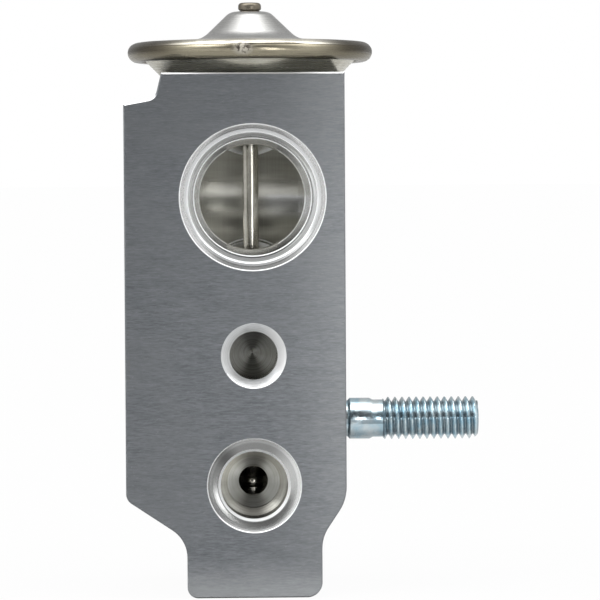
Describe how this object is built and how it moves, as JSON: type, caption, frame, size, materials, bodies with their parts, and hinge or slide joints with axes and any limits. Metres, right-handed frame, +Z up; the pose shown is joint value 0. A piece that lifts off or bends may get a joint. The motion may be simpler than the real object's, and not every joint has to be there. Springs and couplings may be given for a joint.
{
  "type": "block expansion valve",
  "caption": "Aluminium block expansion valve with a welded power head, right-angled pipe ports, a threaded fixing hole and a stud on one side.",
  "frame": {"origin": "on the valve axis in the block's bottom face", "axes": "+Z up the valve axis to the power head, -Y out of the front port face, +X out of the face with the stud"},
  "size_m": [0.0496, 0.0344, 0.0825],
  "materials": {
    "block_aluminium": "brushed, turned ports",
    "zinc_steel": "bright zinc plate",
    "head_stainless": "satin pressed stainless",
    "weld_bead": "heat-tinted weld",
    "plug_steel": "heat-tinted steel",
    "spring_steel": "drawn wire and strip",
    "polished_steel": "ground",
    "screw_brass": "turned",
    "seal_rubber": "satin",
    "white_plastic": "matt"
  },
  "bodies": {
    "block": {"valve_block": "block_aluminium", "mounting_stud": "zinc_steel", "lower_shell": "head_stainless", "upper_shell": "head_stainless", "rim_weld": "weld_bead", "charge_plug": "plug_steel", "diaphragm": "spring_steel", "head_seal": "seal_rubber", "seal_washer": "white_plastic", "rod_seal": "seal_rubber", "seal_retainer": "spring_steel", "seat_insert": "polished_steel"},
    "valve_train": {"thrust_pad": "polished_steel", "actuating_rod": "polished_steel", "ball": "polished_steel", "ball_carrier": "polished_steel", "damping_clip": "spring_steel"},
    "screw_ring": {"screw_seal": "seal_rubber", "spring": "spring_steel"},
    "screw": {"adjusting_screw": "screw_brass"}
  },
  "joints": [
    {"name": "valve_stroke", "type": "slide", "parent": "block", "child": "valve_train", "axis": [0, 0, -1], "range_m": [0, 0.0008], "stiffness_N_per_m": 400, "springref_m": -0.003, "deforming": ["spring", "diaphragm"]},
    {"name": "screw_advance", "type": "slide", "parent": "block", "child": "screw_ring", "axis": [0, 0, 1], "range_m": [-0.00101, 0.00101], "deforming": ["spring"]},
    {"name": "screw_turn", "type": "hinge", "parent": "screw_ring", "child": "screw", "pos_m": [0, 0, 0.004], "axis": [0, 0, 1], "range_deg": [-360, 360]}
  ],
  "couplings": [
    {"joint": "screw_advance", "follows": "screw_turn", "m_per_rad": 0.00015915}
  ]
}
